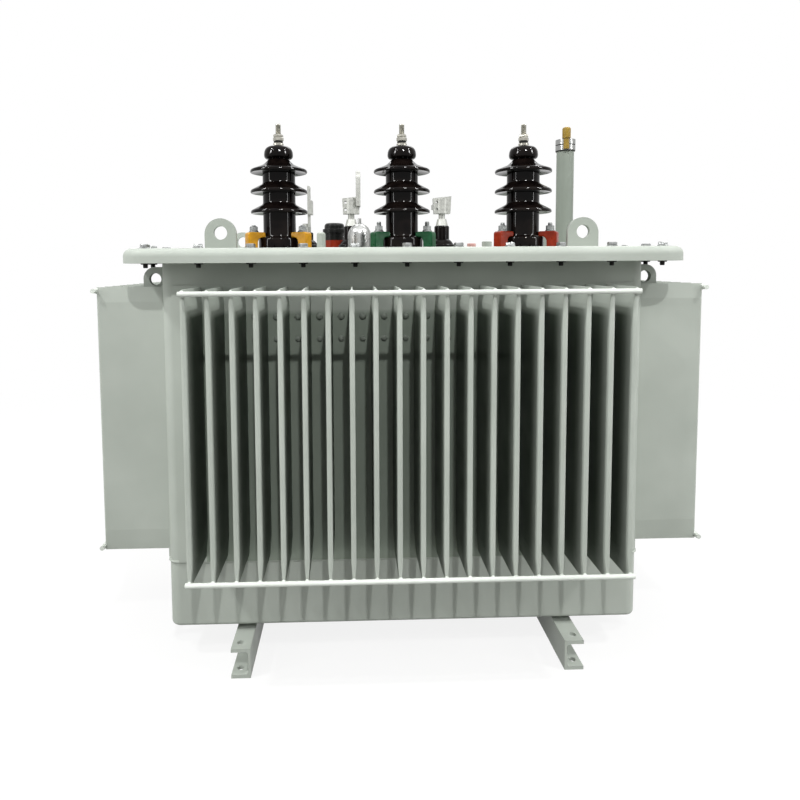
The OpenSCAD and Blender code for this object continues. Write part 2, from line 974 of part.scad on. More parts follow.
// flat palm along +Z with a round end, its mid plane at X = 0 and its root at Z = 0
module palm(length) {
    difference() {
        union() {
            translate([-palm_t / 2, -palm_w / 2, 0])
                cube([palm_t, palm_w, length - palm_w / 2]);
            translate([-palm_t / 2, 0, length - palm_w / 2])
                rotate([0, 90, 0])
                    cylinder(d = palm_w, h = palm_t);
        }
        for (k = [0, 1])
            translate([-palm_t / 2 - e, 0, length - palm_hole_edge - k * palm_hole_pitch])
                rotate([0, 90, 0])
                    cylinder(d = palm_hole_d, h = palm_t + 2 * e);
    }
}

// connector with an upright palm beside its clamp
module lv_connector(i) {
    color(metal)
        translate([lv_x(i), lv_y, cover_top + lv_body_h])
            union() {
                lv_stud();
                translate([0, 0, lv_nut_h + lv_neck_h]) {
                    lv_clamp();
                    translate([palm_x, 0, palm_low])
                        palm(lv_clamp_h - palm_low + palm_l);
                }
            }
}

// connector with its palm turned back over the tank
module lv_connector_back(i) {
    color(metal)
        translate([lv_x(i), lv_y, cover_top + lv_body_h])
            union() {
                lv_stud();
                translate([0, 0, lv_nut_h + lv_neck_h]) {
                    lv_clamp();
                    translate([0, 0, lv_clamp_h / 2])
                        rotate([-90, 0, 0])
                            rotate([0, 0, 90])
                                palm(palm_back_l);
                }
            }
}

// neutral connector: a flat flag beside its hexagon nut, the lower half of it doubled
module lv_flag(i) {
    root_z = flag_nut_h + flag_neck_h;
    color(metal)
        translate([lv_x(i), lv_y, cover_top + neutral_h])
            union() {
                cylinder(d = flag_nut_af / cos(30), h = flag_nut_h, $fn = 6);
                cylinder(d = lv_stud_d, h = root_z);
                translate([flag_x - flag_t / 2, -flag_root_w / 2, flag_nut_h])
                    cube([flag_t, flag_root_w, flag_neck_h + flag_root_h + e]);
                translate([flag_x - flag_t / 2, -palm_w / 2, root_z + flag_root_h]) {
                    difference() {
                        cube([flag_t, palm_w, flag_h]);
                        for (k = [0, 1])
                            translate([-e, palm_w / 2, flag_h - flag_hole_edge - k * flag_hole_pitch])
                                rotate([0, 90, 0])
                                    cylinder(d = palm_hole_d, h = flag_t + 2 * e);
                    }
                    translate([flag_t, 0, 0])
                        cube([flag_t, palm_w, flag_double_h]);
                }
            }
}

module lv_connector_n() {
    lv_flag(0);
}

module lv_connector_a() {
    lv_connector(1);
}

module lv_connector_b() {
    lv_connector(2);
}

module lv_connector_c() {
    lv_connector_back(3);
}

module filler_tube() {
    color(paint)
        translate([filler_x, filler_y, cover_top])
            union() {
                cylinder(d = filler_d, h = filler_h);
                cylinder(d = filler_foot_d, h = filler_foot_h);
            }
}

// screwed cap with two knurled rings
module filler_collar() {
    color(metal)
        translate([filler_x, filler_y, filler_top])
            difference() {
                cylinder(d = filler_ring_d, h = filler_ring_h);
                for (z = [0, filler_ring_h / 2])
                    translate([0, 0, z - (z == 0 ? e : 0)])
                        difference() {
                            cylinder(d = filler_ring_d + 2 * e, h = filler_groove + (z == 0 ? e : 0));
                            translate([0, 0, -e])
                                cylinder(d = filler_ring_d - 2 * filler_groove_t, h = filler_groove + 3 * e);
                        }
            }
}

// half outline of the knob on its stem, lower end of the stem at 0
module knob_outline() {
    union() {
        square([knob_stem_d / 2, knob_stem_h + knob_round]);
        translate([0, knob_stem_h])
            disc_outline(knob_d, knob_h, knob_round);
    }
}

module level_knob() {
    color([0.85, 0.65, 0.10])
        translate([filler_x, filler_y, filler_top + filler_ring_h - knob_stem_h])
            difference() {
                rotate([0, 0, knob_turn])
                    translate([0, -filler_ring_d / 2 - knob_stem_d / 2 + knob_saddle, 0])
                        rotate_extrude()
                            knob_outline();
                translate([0, 0, -e])
                    cylinder(d = filler_ring_d, h = knob_stem_h + e);
            }
}

// half outline of the relief valve dome, grown by t
module relief_outline(t) {
    r = relief_d / 2;
    intersection() {
        union() {
            square([r + t, relief_h - r]);
            translate([0, relief_h - r])
                circle(r = r + t);
        }
        square([r + t, relief_h + t]);
    }
}

module relief_valve() {
    color(metal)
        translate([relief_x, relief_y, cover_top])
            union() {
                difference() {
                    rotate_extrude()
                        relief_outline(0);
                    translate([0, 0, relief_seam_z])
                        difference() {
                            cylinder(d = relief_d + 2 * e, h = relief_seam);
                            translate([0, 0, -e])
                                cylinder(d = relief_d - 2 * relief_seam, h = relief_seam + 2 * e);
                        }
                }
                intersection() {
                    rotate_extrude()
                        relief_outline(relief_strap_t);
                    for (i = [0 : relief_straps - 1])
                        rotate([0, 0, 90 + i * 180 / relief_straps])
                            translate([-relief_d, -relief_strap_w / 2, 0])
                                cube([2 * relief_d, relief_strap_w, 2 * relief_h]);
                }
                translate([0, 0, relief_h - e])
                    cylinder(d = relief_pin_d, h = relief_pin_h + e);
            }
}

module tap_base() {
    color([0.62, 0.10, 0.08])
        translate([tap_x, tap_y, cover_top])
            cylinder(d = tap_base_d, h = tap_base_h);
}

module tap_cap() {
    color([0.06, 0.06, 0.06])
        translate([tap_x, tap_y, cover_top + tap_base_h])
            rotate_extrude()
                difference() {
                    union() {
                        disc_outline(tap_body_d, tap_h, tap_crown_r);
                        translate([0, tap_brim_z])
                            disc_outline(tap_d, tap_brim_h, fitting_round);
                    }
                    translate([tap_body_d / 2 - tap_groove, tap_groove_z])
                        square([tap_groove + e, tap_groove]);
                }
}

module thermometer_pocket() {
    color(paint)
        translate([pocket_x, pocket_y, cover_top])
            rotate_extrude()
                disc_outline(pocket_d, pocket_h, pocket_crown_r);
}

module vent_cap() {
    color(paint)
        translate([vent_x, vent_y, cover_top])
            rotate_extrude()
                disc_outline(vent_d, vent_h, fitting_round);
}

module drain_plug() {
    color([0.75, 0.35, 0.32])
        translate([plug_x, plug_y, cover_top])
            rotate_extrude()
                disc_outline(plug_d, plug_h, fitting_round);
}

left_channel();
right_channel();
floor_plate();
tank_body();
front_fin_wall();
rear_fin_wall();
left_fin_wall();
right_fin_wall();
front_rods();
rear_rods();
left_rods();
right_rods();
tank_rim();
cover_gasket();
cover();
front_cover_lugs();
rear_cover_lugs();
left_tank_lugs();
right_tank_lugs();
hv_porcelain_a();
hv_porcelain_b();
hv_porcelain_c();
hv_terminal_a();
hv_terminal_b();
hv_terminal_c();
hv_claws_a();
hv_claws_b();
hv_claws_c();
lv_porcelain_n();
lv_porcelain_a();
lv_porcelain_b();
lv_porcelain_c();
lv_connector_n();
lv_connector_a();
lv_connector_b();
lv_connector_c();
filler_tube();
filler_collar();
level_knob();
relief_valve();
tap_base();
tap_cap();
thermometer_pocket();
vent_cap();
drain_plug();
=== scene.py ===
# %% [markdown]
# # An oil-filled distribution transformer
# The construction comes packed as a fixed frame: a tank with corrugated cooling walls, its cover,
# bushings and fittings. This lesson dresses that frame. It sets the camera, mixes finishes for the
# real materials, with painted light and shade in a few of them, adds the bolts, threads and weld
# beads that the frame leaves out, turns the bushings and casts the claws again in softer forms, and
# sets a plain pale studio around it all.
# Lengths in the frame are metres; small sizes below are millimetres.

# %% Load the frame
import json
import math

import bmesh
import bpy
from mathutils import Matrix, Vector

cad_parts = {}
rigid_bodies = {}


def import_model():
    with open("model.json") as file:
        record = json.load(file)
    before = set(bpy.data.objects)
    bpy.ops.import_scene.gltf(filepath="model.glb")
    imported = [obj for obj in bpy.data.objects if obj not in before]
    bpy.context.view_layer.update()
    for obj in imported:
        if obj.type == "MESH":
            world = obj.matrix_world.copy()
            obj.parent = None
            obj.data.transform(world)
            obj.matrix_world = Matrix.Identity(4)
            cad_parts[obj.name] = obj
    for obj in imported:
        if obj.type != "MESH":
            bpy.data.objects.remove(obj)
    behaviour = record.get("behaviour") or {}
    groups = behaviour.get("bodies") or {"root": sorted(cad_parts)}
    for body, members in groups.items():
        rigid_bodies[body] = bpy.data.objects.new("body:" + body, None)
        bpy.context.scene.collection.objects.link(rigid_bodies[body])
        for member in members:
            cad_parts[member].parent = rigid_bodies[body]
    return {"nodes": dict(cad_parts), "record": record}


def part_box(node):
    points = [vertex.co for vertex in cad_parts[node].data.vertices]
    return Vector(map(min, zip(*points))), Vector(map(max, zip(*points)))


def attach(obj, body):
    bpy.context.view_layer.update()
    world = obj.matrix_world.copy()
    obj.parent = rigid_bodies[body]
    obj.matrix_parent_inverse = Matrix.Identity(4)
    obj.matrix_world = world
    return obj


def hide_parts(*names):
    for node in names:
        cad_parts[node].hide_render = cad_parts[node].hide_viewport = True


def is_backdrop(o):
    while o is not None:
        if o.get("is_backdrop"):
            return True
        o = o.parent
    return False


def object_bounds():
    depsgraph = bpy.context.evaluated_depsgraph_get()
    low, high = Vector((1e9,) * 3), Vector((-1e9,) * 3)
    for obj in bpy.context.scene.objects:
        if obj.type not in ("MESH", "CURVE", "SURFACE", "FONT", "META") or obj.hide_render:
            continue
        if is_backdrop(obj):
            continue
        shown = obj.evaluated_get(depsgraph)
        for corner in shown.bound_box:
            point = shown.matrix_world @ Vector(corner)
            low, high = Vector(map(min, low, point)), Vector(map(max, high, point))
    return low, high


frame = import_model()
cad_low, cad_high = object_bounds()
nodes = frame["nodes"]
MM = 0.001
print("loaded", len(nodes), "nodes, box", [round(b - a, 3) for a, b in zip(cad_low, cad_high)])

# %% [markdown]
# ## The camera
# The photograph was taken from about one and a half metres with a wide lens: the skid channels fan
# out and the fins turn their sides to us. Its picture is cropped off centre, so the optical axis
# does not meet the middle of the frame. A lens shift says the same thing, and keeps upright edges
# as they are in the photograph. The eye sits a little below the cover, so the cover's top is hidden.

# %% Set the camera
EYE = Vector((-0.1134, -1.5987, 0.8505))
PITCH_DOWN = 0.0702
YAW_RIGHT = 0.0316
ROLL = 0.0058
PICTURE_PX = 800
FOCAL_PX = 627.6
AXIS_PX = Vector((371.2, 308.3))
SENSOR_MM = 36.0


def camera_matrix(eye, pitch, yaw, roll):
    ahead = Vector((math.sin(yaw), math.cos(yaw), 0.0))
    forward = math.cos(pitch) * ahead - Vector((0.0, 0.0, math.sin(pitch)))
    level = Vector((math.cos(yaw), -math.sin(yaw), 0.0))
    down = forward.cross(level)
    right = math.cos(roll) * level + math.sin(roll) * down
    up = math.sin(roll) * level - math.cos(roll) * down
    turn = Matrix((right, up, -forward)).transposed().to_4x4()
    return Matrix.Translation(eye) @ turn


lens = bpy.data.cameras.new("camera")
lens.sensor_width = SENSOR_MM
lens.lens = FOCAL_PX * SENSOR_MM / PICTURE_PX
lens.shift_x = 0.5 - AXIS_PX.x / PICTURE_PX
lens.shift_y = AXIS_PX.y / PICTURE_PX - 0.5
lens.clip_start = 0.05
lens.clip_end = 60.0
camera = bpy.data.objects.new("camera", lens)
bpy.context.scene.collection.objects.link(camera)
camera.matrix_world = camera_matrix(EYE, PITCH_DOWN, YAW_RIGHT, ROLL)
bpy.context.scene.camera = camera
print("lens", round(lens.lens, 1), "mm, shift", round(lens.shift_x, 4), round(lens.shift_y, 4))

# %% [markdown]
# ## Helpers for finishes
# A colour is written as the sRGB hex value that a painter's chart would give, and one function turns
# it to the linear numbers that shaders use. One more function adds a node, sets it and links it.
# Patterns are drawn in object space, where one unit is a metre, so a spot of so many millimetres
# needs a noise scale of one over that length. Noise seldom leaves the middle of its range, so that
# middle is stretched to the two tones of a colour or the two ends of a roughness.

# %% Colour, node and pattern helpers
NOISE_LOW = 0.3
NOISE_HIGH = 0.7
TONE_STEPS = (0.35, 0.65)


def linear(code):
    channels = [int(code[i:i + 2], 16) / 255 for i in (1, 3, 5)]
    return [c / 12.92 if c <= 0.04045 else ((c + 0.055) / 1.055) ** 2.4 for c in channels] + [1.0]


def add_node(tree, kind, inputs=None, **settings):
    made = tree.nodes.new(kind)
    for name, value in settings.items():
        setattr(made, name, value)
    for name, value in (inputs or {}).items():
        if isinstance(value, bpy.types.NodeSocket):
            tree.links.new(value, made.inputs[name])
        else:
            made.inputs[name].default_value = value
    return made


def per_mm(size):
    return 1.0 / (size * MM)


def start_finish(name):
    made = bpy.data.materials.new(name)
    made.use_nodes = True
    tree = made.node_tree
    shader = tree.nodes["Principled BSDF"]
    place = add_node(tree, "ShaderNodeTexCoord").outputs["Object"]
    return made, tree, shader, place


def speckle(tree, place, size, detail=2.0):
    settings = {"Vector": place, "Scale": per_mm(size), "Detail": detail}
    return add_node(tree, "ShaderNodeTexNoise", settings).outputs["Fac"]


def spread(tree, value, low, high):
    ends = {"From Min": NOISE_LOW, "From Max": NOISE_HIGH, "To Min": low, "To Max": high}
    return add_node(tree, "ShaderNodeMapRange", {"Value": value, **ends}).outputs["Result"]


def two_tone(tree, value, dark, pale):
    ramp = add_node(tree, "ShaderNodeValToRGB", {"Fac": value})
    for stop, position, tone in zip(ramp.color_ramp.elements, TONE_STEPS, (dark, pale)):
        stop.position = position
        stop.color = linear(tone)
    return ramp.outputs["Color"]


def raise_surface(tree, shader, height, depth_mm, strength):
    settings = {"Height": height, "Distance": depth_mm * MM, "Strength": strength}
    bump = add_node(tree, "ShaderNodeBump", settings)
    tree.links.new(bump.outputs["Normal"], shader.inputs["Normal"])


def set_gloss(shader, ior, level):
    shader.inputs["IOR"].default_value = ior
    shader.inputs["Specular IOR Level"].default_value = level


print("helpers ready; pure white is", linear("#ffffff")[:3])

# %% [markdown]
# ## Sprayed enamel on sheet steel
# The tank, fins, cover and channels are welded first and then sprayed with a pale grey-green enamel.
# Spraying leaves orange peel, a soft ripple a few millimetres wide, so the highlights are satin and a
# little broken. The film is not quite even: it is a shade darker where the coat is thin. The real
# ripple is about 2 mm, too fine for this picture, so it is drawn at 5 mm. Enamel is a dielectric.

# %% Mix the grey enamel
GREY_TONES = ("#a7ada5", "#b1b7af")
ENAMEL_GLOSS = 0.12
PEEL_MM = 5.0


def sprayed_enamel(name, dark, pale, roughness=0.42):
    made, tree, shader, place = start_finish(name)
    cloud = speckle(tree, place, 180.0, 3.0)
    tree.links.new(two_tone(tree, cloud, dark, pale), shader.inputs["Base Color"])
    patch = speckle(tree, place, 60.0)
    tree.links.new(spread(tree, patch, roughness - 0.06, roughness + 0.06), shader.inputs["Roughness"])
    raise_surface(tree, shader, speckle(tree, place, PEEL_MM, 1.0), 0.12, 0.5)
    set_gloss(shader, 1.5, ENAMEL_GLOSS)
    return made


grey_enamel = sprayed_enamel("sprayed_grey_enamel", *GREY_TONES)
# painted light: a paler copy of the enamel for the stay rods and their tacks, standing for the
# highlights on their round tops
rod_enamel_painted_light = sprayed_enamel("pale_enamel_painted_light", "#c9cec7", "#d3d8d1", 0.34)
# painted shade: a darker copy of the enamel for the filler tube, which stands in less light, and the
# wall dimples, which sit in the painted gap shade
shade_painted_enamel = sprayed_enamel("grey_enamel_painted_shade", "#7f867d", "#899087")
# painted shade: a darker copy of the enamel for the cover and tank lugs
shade_painted_lug_enamel = sprayed_enamel("lug_enamel_painted_shade", "#9aa098", "#a4aaa2")
print("mixed", grey_enamel.name, rod_enamel_painted_light.name, shade_painted_enamel.name, shade_painted_lug_enamel.name)

# %% [markdown]
# ## Painted shade in the deep gaps
# Little light reaches between fins that stand so close, and that shade is painted into the colour
# here. On a fin's folded front edge the enamel keeps its full pale colour. Towards the wall, some
# 140 mm in, painted shade makes it dark, and the wall sheet itself is painted a little lighter again.
# So the corrugated walls wear the same enamel with its colour led from pale to dark by the depth.
# The side lamps reach the outer faces of each row's last fins and the fins' top ends, some 50 mm down
# from the open top of each gap, so these keep the full colour as painted light. The tones below
# multiply the enamel's own colour, from the fin's front at 0 to the wall sheet at 1.

# %% Mix the enamel with painted gap shade for the fin walls
# painted shade: tones that multiply the enamel by depth, full at the fin front, dark deep in the gap
# and lighter on the wall sheet
FRONT_SHADE_TINT = "#ffffff"
SHEET_SHADE_TINT = "#d6dcd5"
SHADE_BY_DEPTH = ((0.08, "#f0f0f0"), (0.4, "#8b938a"), (0.93, "#788077"), (0.965, "#d0d6cf"))
# painted light near the fins' top ends: full colour in the top band, painted shade below it
SHADE_BELOW_TOP = 58 * MM
LIT_ABOVE_TOP = 48 * MM


def gap_shaded_enamel(name, outward, across, front, back, row_end, top):
    made = sprayed_enamel(name, *GREY_TONES)
    tree = made.node_tree
    shader = tree.nodes["Principled BSDF"]
    coat = shader.inputs["Base Color"].links[0].from_socket
    place = add_node(tree, "ShaderNodeTexCoord").outputs["Object"]
    parts = add_node(tree, "ShaderNodeSeparateXYZ", {"Vector": place}).outputs
    depth = add_node(tree, "ShaderNodeMapRange",
                     {"Value": parts[outward], "From Min": front, "From Max": back})
    ramp = add_node(tree, "ShaderNodeValToRGB", {"Fac": depth.outputs["Result"]})
    ramp.color_ramp.elements[0].color = linear(FRONT_SHADE_TINT)
    ramp.color_ramp.elements[1].color = linear(SHEET_SHADE_TINT)
    for position, tone in SHADE_BY_DEPTH:
        ramp.color_ramp.elements.new(position).color = linear(tone)
    # painted light on the outer faces of the last fins and on the fins' top ends; painted shade
    # elsewhere in the gaps
    aside = add_node(tree, "ShaderNodeMath", {0: parts[across]}, operation="ABSOLUTE").outputs[0]
    between = add_node(tree, "ShaderNodeMath", {0: aside, 1: row_end}, operation="LESS_THAN").outputs[0]
    fade = {"From Min": top - SHADE_BELOW_TOP, "From Max": top - LIT_ABOVE_TOP, "To Min": 1.0, "To Max": 0.0}
    below = add_node(tree, "ShaderNodeMapRange", {"Value": parts["Z"], **fade}).outputs["Result"]
    shade_share = add_node(tree, "ShaderNodeMath", {0: between, 1: below}, operation="MULTIPLY").outputs[0]
    gap_shaded_colour = add_node(tree, "ShaderNodeMix", {"Factor": shade_share, 6: coat, 7: ramp.outputs["Color"]},
                       data_type="RGBA", blend_type="MULTIPLY")
    tree.links.new(gap_shaded_colour.outputs[2], shader.inputs["Base Color"])
    return made


FIN_HALF = 6 * MM
# enamel with painted gap shade for each of the four fin walls
GAP_SHADED_FINISH = {}
for side, outward, sign in (("front", 1, -1), ("rear", 1, 1), ("left", 0, -1), ("right", 0, 1)):
    name = side + "_fin_wall"
    across = 1 - outward
    corners = [nodes[name].matrix_world @ vertex.co for vertex in nodes[name].data.vertices]
    reach = max(abs(corner[outward]) for corner in corners)
    root = min(abs(corner[outward]) for corner in corners)
    fronts = [corner for corner in corners if abs(corner[outward]) > reach - FIN_HALF]
    row_end = max(abs(corner[across]) for corner in fronts) - FIN_HALF
    top = max(corner.z for corner in fronts)
    GAP_SHADED_FINISH[name] = gap_shaded_enamel("gap_shaded_enamel_" + side, outward, across,
                                       sign * reach, sign * root, row_end, top)
    print(name, "fins", round((reach - root) / MM), "mm deep, outer fin at", round(row_end / MM), "mm")
print("mixed", len(GAP_SHADED_FINISH), "wall finishes")

# %% [markdown]
# ## Brush-coloured castings
# Each high-voltage bushing is held by cast claws in its phase colour: yellow, green and red. The
# enamel is thick and glossy over a sand casting, so the surface shows soft pits some 3 mm across.

# %% Mix the phase colours
CASTING_GLOSS = 0.2


def coloured_casting(name, dark, pale):
    made, tree, shader, place = start_finish(name)
    cloud = speckle(tree, place, 12.0, 3.0)
    tree.links.new(two_tone(tree, cloud, dark, pale), shader.inputs["Base Color"])
    tree.links.new(spread(tree, speckle(tree, place, 8.0), 0.26, 0.44), shader.inputs["Roughness"])
    raise_surface(tree, shader, speckle(tree, place, 3.0), 0.25, 0.6)
    set_gloss(shader, 1.5, CASTING_GLOSS)
    return made


yellow_enamel = coloured_casting("yellow_enamel_on_casting", "#ac7a0f", "#bd8817")
green_enamel = coloured_casting("green_enamel_on_casting", "#033a1c", "#094827")
red_enamel = coloured_casting("red_enamel_on_casting", "#741e06", "#85260c")
print("mixed", yellow_enamel.name, green_enamel.name, red_enamel.name)

# %% [markdown]
# ## Brown glazed porcelain
# Bushings are turned from clay and dipped in a brown glaze that fires nearly black. The glaze is
# glass, so it is very smooth and mirrors the studio in sharp lights. It pools in slow waves some
# 20 mm wide, which bend those reflections a little, and thins to a warmer brown in places. The
# studio around it is white on all sides, so its mirror is kept weak or the black would turn grey.

# %% Mix the glaze
GLAZE_GLOSS = 0.1


def fired_glaze(name, dark, pale):
    made, tree, shader, place = start_finish(name)
    cloud = speckle(tree, place, 25.0)
    tree.links.new(two_tone(tree, cloud, dark, pale), shader.inputs["Base Color"])
    tree.links.new(spread(tree, speckle(tree, place, 10.0), 0.03, 0.07), shader.inputs["Roughness"])
    raise_surface(tree, shader, speckle(tree, place, 20.0, 1.0), 0.5, 0.35)
    set_gloss(shader, 1.52, GLAZE_GLOSS)
    return made


brown_glaze = fired_glaze("brown_glazed_porcelain", "#030202", "#090605")
print("mixed", brown_glaze.name)

# %% [markdown]
# ## Bare metals
# Bolts are zinc-plated steel: bright, slightly blue, with a dull bloom in spots. On the claw nuts the
# zinc has weathered to a flat grey. The low-voltage clamps are sand-cast and tinned, so they are
# paler and rougher, with a grain of about 1.5 mm drawn at 3 mm. The relief valve is pressed from
# satin aluminium, the filler's collar is rolled and polished steel, the studs are tinned brass, and
# the nuts under the rim are given a near-black steel colour. A metal mirrors the white studio, so its
# colour is written as dark as the eye finds it in a workshop, and it keeps the default IOR.

# %% Mix the metals


def bare_metal(name, dark, pale, roughness, vary, grain_mm, grain_depth):
    made, tree, shader, place = start_finish(name)
    cloud = speckle(tree, place, 9.0, 3.0)
    tree.links.new(two_tone(tree, cloud, dark, pale), shader.inputs["Base Color"])
    bloom = speckle(tree, place, 5.0)
    tree.links.new(spread(tree, bloom, roughness - vary, roughness + vary), shader.inputs["Roughness"])
    raise_surface(tree, shader, speckle(tree, place, grain_mm), grain_depth, 0.5)
    shader.inputs["Metallic"].default_value = 1.0
    return made


zinc_plate = bare_metal("zinc_plated_steel", "#8f9190", "#a9abaa", 0.34, 0.08, 2.0, 0.05)
dull_zinc = bare_metal("weathered_zinc_plate", "#727473", "#868887", 0.5, 0.08, 2.0, 0.1)
tinned_casting = bare_metal("tinned_sand_casting", "#a3a49f", "#b2b3ae", 0.55, 0.06, 3.0, 0.2)
polished_steel = bare_metal("polished_rolled_steel", "#8f908e", "#9d9e9c", 0.24, 0.04, 30.0, 0.1)
satin_aluminium = bare_metal("satin_pressed_aluminium", "#b2b3b1", "#bebfbd", 0.3, 0.05, 12.0, 0.05)
turned_brass = bare_metal("tinned_turned_brass", "#9a988f", "#b0aea5", 0.32, 0.06, 2.0, 0.04)
dark_rim_steel = bare_metal("near_black_steel", "#2a2a29", "#3a3a38", 0.5, 0.06, 2.0, 0.05)
metals = (zinc_plate, dull_zinc, tinned_casting, polished_steel, satin_aluminium, turned_brass,
          dark_rim_steel)
print("mixed", ", ".join(metal.name for metal in metals))

# %% [markdown]
# ## Moulded plastics and rubber
# The tap changer has a black phenolic cap, moulded with a fine grain. The oil-level knob is yellow
# ABS and the small plug is a faded pink-red cap. The cover gasket is black nitrile rubber, matt.

# %% Mix the plastics
PLASTIC_GLOSS = 0.2


def moulded_plastic(name, dark, pale, roughness):
    made, tree, shader, place = start_finish(name)
    cloud = speckle(tree, place, 15.0)
    tree.links.new(two_tone(tree, cloud, dark, pale), shader.inputs["Base Color"])
    patch = speckle(tree, place, 6.0)
    tree.links.new(spread(tree, patch, roughness - 0.05, roughness + 0.05), shader.inputs["Roughness"])
    raise_surface(tree, shader, speckle(tree, place, 2.5), 0.06, 0.5)
    set_gloss(shader, 1.54, PLASTIC_GLOSS)
    return made


black_phenolic = moulded_plastic("black_phenolic_moulding", "#040504", "#080908", 0.36)
yellow_abs = moulded_plastic("yellow_abs_moulding", "#836a26", "#947a31", 0.32)
faded_cap = moulded_plastic("faded_red_cap", "#b98f89", "#c79e97", 0.55)
nitrile = moulded_plastic("black_nitrile_rubber", "#101010", "#191918", 0.75)
print("mixed", black_phenolic.name, yellow_abs.name, faded_cap.name, nitrile.name)

# %% [markdown]
# ## Dress the frame
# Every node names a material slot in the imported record, so a table from slot to finish dresses them
# all, and a few pieces that share a slot but not a finish follow by name. Turned pieces are shaded
# smooth; an angle limit keeps their real edges crisp.

# %% Give each node its finish
SMOOTH_LIMIT = math.radians(28)
FINISHES = {
    "paint": grey_enamel,
    "gasket": nitrile,
    "porcelain": brown_glaze,
    "hv_metal": turned_brass,
    "yellow": yellow_enamel,
    "green": green_enamel,
    "red": red_enamel,
    "cast_metal": tinned_casting,
    "knob": yellow_abs,
    "black_plastic": black_phenolic,
    "plug": faded_cap,
}
OWN_FINISH = {
    "relief_valve": satin_aluminium,
    "filler_collar": polished_steel,
    # painted shade: the filler tube wears the darker copy of the enamel
    "filler_tube": shade_painted_enamel,
    # painted shade in the gaps of the four fin walls
    **GAP_SHADED_FINISH,
}
# painted shade: the lugs wear the darker copy of the enamel
for place in ("front_cover", "rear_cover", "left_tank", "right_tank"):
    OWN_FINISH[place + "_lugs"] = shade_painted_lug_enamel
# painted light: the stay rods wear the paler copy of the enamel
for side in ("front", "rear", "left", "right"):
    OWN_FINISH[side + "_rods"] = rod_enamel_painted_light
SLOT_OF = {part["node"]: part["material_slot"] for part in frame["record"]["subparts"]}


def wear(piece, finish):
    piece.data.materials.clear()
    piece.data.materials.append(finish)


for name, piece in nodes.items():
    wear(piece, OWN_FINISH.get(name, FINISHES[SLOT_OF[name]]))
    piece.data.shade_smooth()
    piece.data.set_sharp_from_angle(angle=SMOOTH_LIMIT)
finishes_used = {piece.data.materials[0].name for piece in nodes.values()}
print("dressed", len(nodes), "nodes in", len(finishes_used), "finishes")

# %% [markdown]
# ## Break the sharp edges
# Flame-cut lugs, rolled channels and sand castings have no knife edges: they are ground or rounded by
# a millimetre or two, and the light catches there. A bevel modifier rounds only the sharp edges and
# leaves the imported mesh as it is.

# %% Round the plate edges
EDGE_ROUND = {"lugs": 1.2 * MM, "channel": 1.5 * MM, "connector": 1.0 * MM}
SHARP_FROM = math.radians(50)


def break_edges(piece, width):
    bevel = piece.modifiers.new("broken_edges", "BEVEL")
    bevel.width = width
    bevel.segments = 2
    bevel.limit_method = "ANGLE"
    bevel.angle_limit = SHARP_FROM
    bevel.use_clamp_overlap = True


rounded = 0
for name, piece in nodes.items():
    for kind, width in EDGE_ROUND.items():
        if kind in name:
            break_edges(piece, width)
            rounded += 1
print("rounded the edges of", rounded, "nodes")

# %% [markdown]
# ## Helpers for added pieces
# Bolts and nuts are turned or pressed from bar. A turned shape is a half outline spun about an axis;
# a hexagon is a six-sided prism whose corners are turned off at each end. Many of them share one mesh,
# because a hundred loose bolts would only make the file hard to use.

# %% Mesh helpers
SOFT_LIMIT = math.radians(60)
HEX_POINTS = 12
HEX_CHAMFER = 0.07
HEX_TURNED = 0.97


def spin(mesh, outline, place, sides=24):
    turns = [2 * math.pi * k / sides for k in range(sides)]
    rings = []
    for radius, height in outline:
        spots = [(0.0, 0.0, height)]
        if radius > 0:
            spots = [(radius * math.cos(t), radius * math.sin(t), height) for t in turns]
        rings.append([mesh.verts.new(place @ Vector(spot)) for spot in spots])
    for low, high in zip(rings, rings[1:]):
        for k in range(sides):
            pairs = [low[k % len(low)], low[(k + 1) % len(low)]]
            pairs += [high[(k + 1) % len(high)], high[k % len(high)]]
            mesh.faces.new(list(dict.fromkeys(pairs)))


def hexagon(mesh, across, height, place, base=0.0):
    chamfer = HEX_CHAMFER * across
    flat = across / 2
    corner = flat / math.cos(math.pi / 6)
    limits = [flat * HEX_TURNED, corner, corner, flat * HEX_TURNED]
    levels = [base, base + chamfer, base + height - chamfer, base + height]
    rings = []
    for limit, level in zip(limits, levels):
        ring = []
        for k in range(HEX_POINTS):
            turn = 2 * math.pi * k / HEX_POINTS
            reach = min(limit, corner if k % 2 == 0 else flat)
            spot = Vector((reach * math.cos(turn), reach * math.sin(turn), level))
            ring.append(mesh.verts.new(place @ spot))
        rings.append(ring)
    for low, high in zip(rings, rings[1:]):
        for k in range(HEX_POINTS):
            after = (k + 1) % HEX_POINTS
            mesh.faces.new([low[k], low[after], high[after], high[k]])
    mesh.faces.new(list(reversed(rings[0])))
    mesh.faces.new(rings[-1])


def finish_piece(name, mesh, finish, limit=SMOOTH_LIMIT):
    bmesh.ops.recalc_face_normals(mesh, faces=mesh.faces)
    data = bpy.data.meshes.new(name)
    mesh.to_mesh(data)
    mesh.free()
    piece = bpy.data.objects.new(name, data)
    bpy.context.scene.collection.objects.link(piece)
    wear(piece, finish)
    data.shade_smooth()
    data.set_sharp_from_angle(angle=limit)
    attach(piece, "root")
    print("made", name, "with", len(data.polygons), "faces")
    return piece


def middle(node):
    low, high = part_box(node)
    return (low + high) / 2


print("mesh helpers ready")

# %% [markdown]
# ## Cover bolts
# The cover is held to the tank's rim flange by bolts all round, about a hundred millimetres apart.
# From the front their heads show as pale hexagons on the cover, and their nuts and ends hang below
# the rim. Each one is a head, two washers, a nut and a threaded end. All the heads are joined in one
# mesh and all the nuts in another, because the heads are bright zinc and the nuts near-black.

